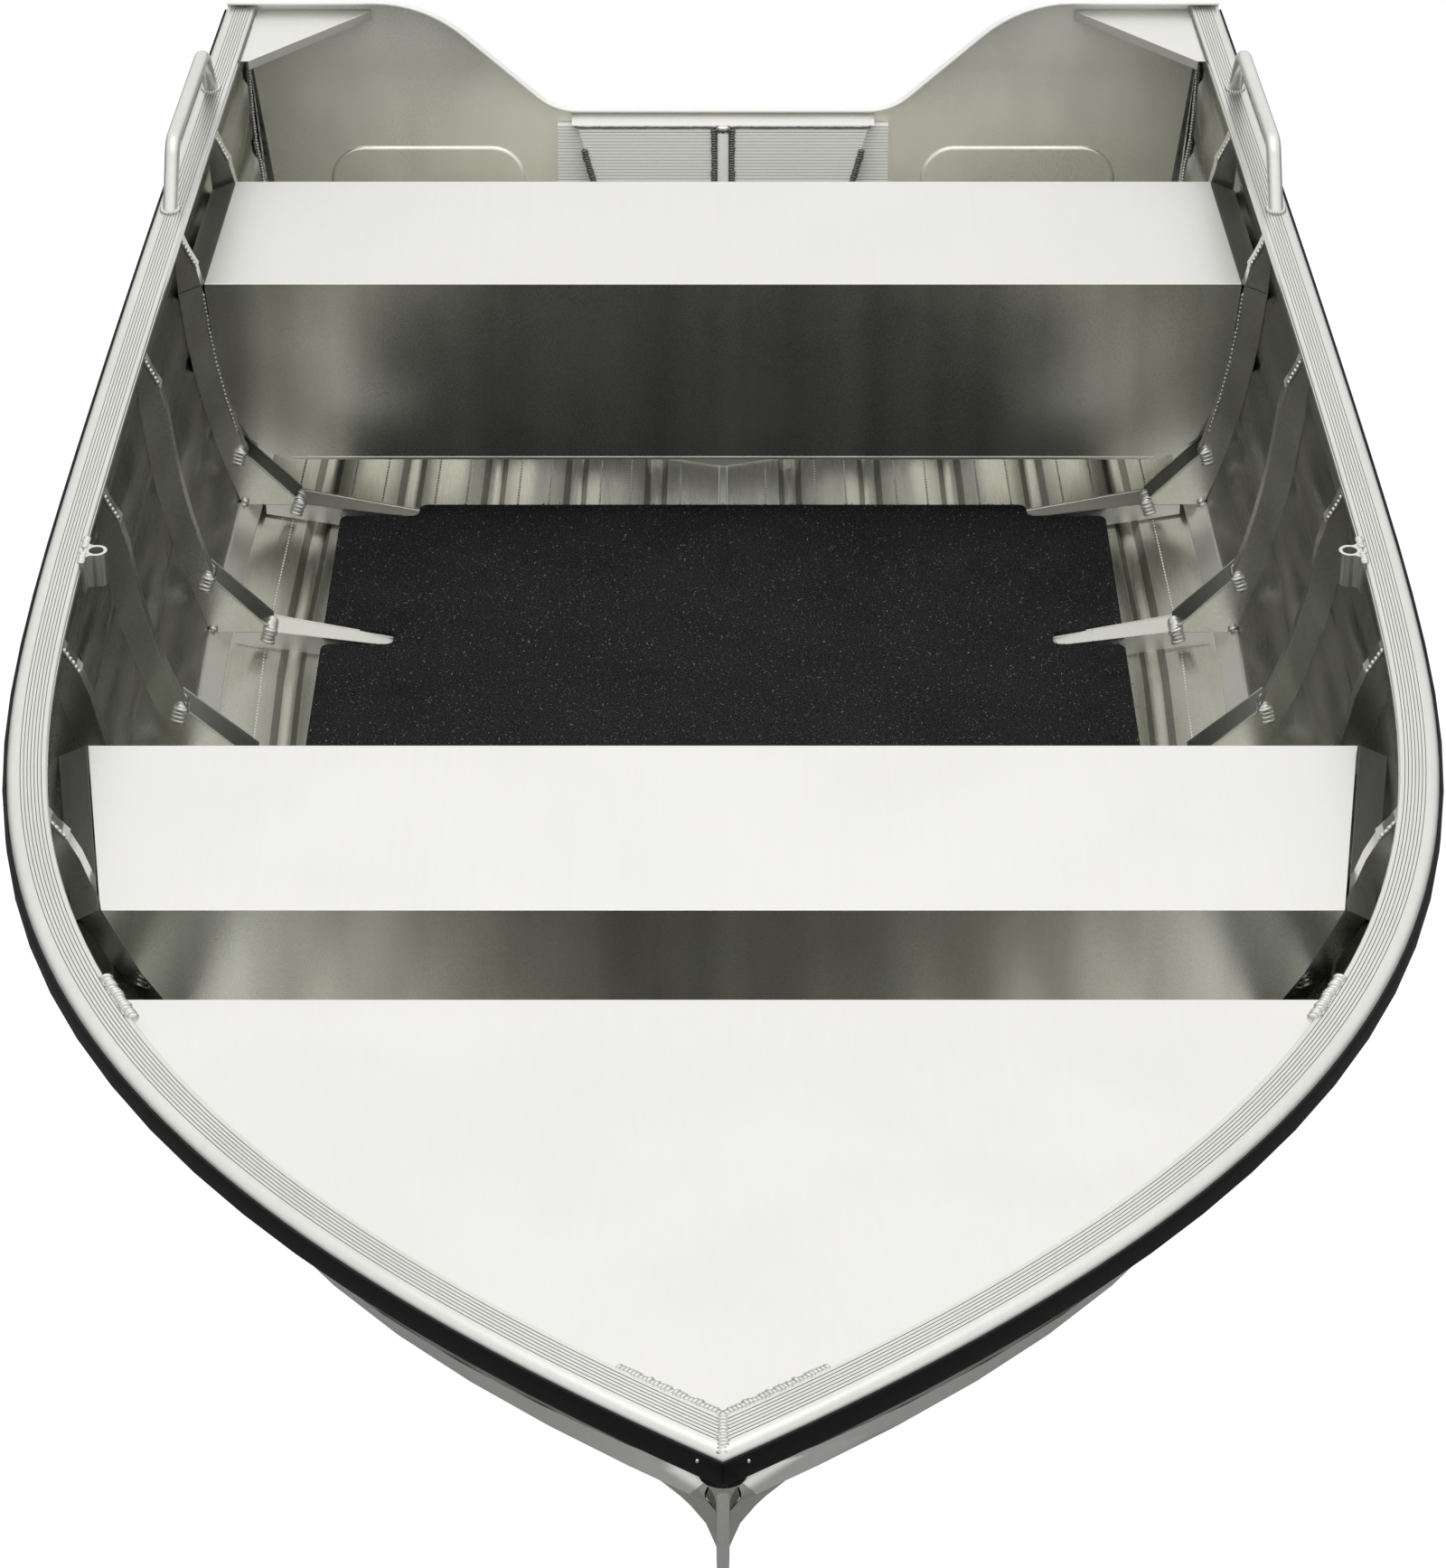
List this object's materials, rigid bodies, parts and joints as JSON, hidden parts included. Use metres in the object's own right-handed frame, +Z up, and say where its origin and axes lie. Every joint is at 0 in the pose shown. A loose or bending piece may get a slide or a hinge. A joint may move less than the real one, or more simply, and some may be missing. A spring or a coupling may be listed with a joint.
{
  "type": "open aluminium dinghy",
  "caption": "Open welded aluminium boat with a flared bow, bow deck, cross seats, carpeted floor board and a dipped transom for an outboard motor.",
  "frame": {"origin": "on the waterline, on the centreline, midway between the gunwale's tip and the top of the transom", "axes": "+X to the port side, +Y aft, +Z up"},
  "size_m": [1.56, 3.3858, 0.7113],
  "materials": {
    "rail": "extruded aluminium, finely grooved along its length",
    "sheet": "rolled aluminium sheet, satin, faint mill streaks",
    "bright_sheet": "bright satin aluminium sheet",
    "seat_end": "dark grey aluminium flange",
    "rubber": "matt black rubber band",
    "carpet": "short black carpet with grey flecks"
  },
  "bodies": {
    "root": {"bottom_port": "sheet", "bottom_starboard": "sheet", "side_port": "sheet", "side_starboard": "sheet", "chine_port": "rail", "chine_starboard": "rail", "keel_bar": "rail", "stem_bar": "rail", "gunwale_port": "rail", "gunwale_starboard": "rail", "rubber_port": "rubber", "rubber_starboard": "rubber", "transom": "sheet", "transom_cap": "rail", "inner_plank": "rail", "front_planks": "rail", "motor_pad": "rail", "centre_post": "rail", "corner_port": "bright_sheet", "corner_starboard": "bright_sheet", "handle_port": "rail", "handle_starboard": "rail", "rib_1_port": "sheet", "rib_1_starboard": "sheet", "rib_2_port": "sheet", "rib_2_starboard": "sheet", "rib_3_port": "sheet", "rib_3_starboard": "sheet", "rib_4_port": "sheet", "rib_4_starboard": "sheet", "rib_5_port": "sheet", "rib_5_starboard": "sheet", "rib_6_port": "sheet", "rib_6_starboard": "sheet", "floor_ribs": "sheet", "rear_seat": "bright_sheet", "front_seat": "bright_sheet", "rear_seat_ends": "seat_end", "front_seat_ends": "seat_end", "bow_deck": "bright_sheet", "floor_board": "carpet", "rowlock_port": "rail", "rowlock_starboard": "rail", "bow_eye": "rail", "drain_bush": "rail"}
  },
  "joints": []
}
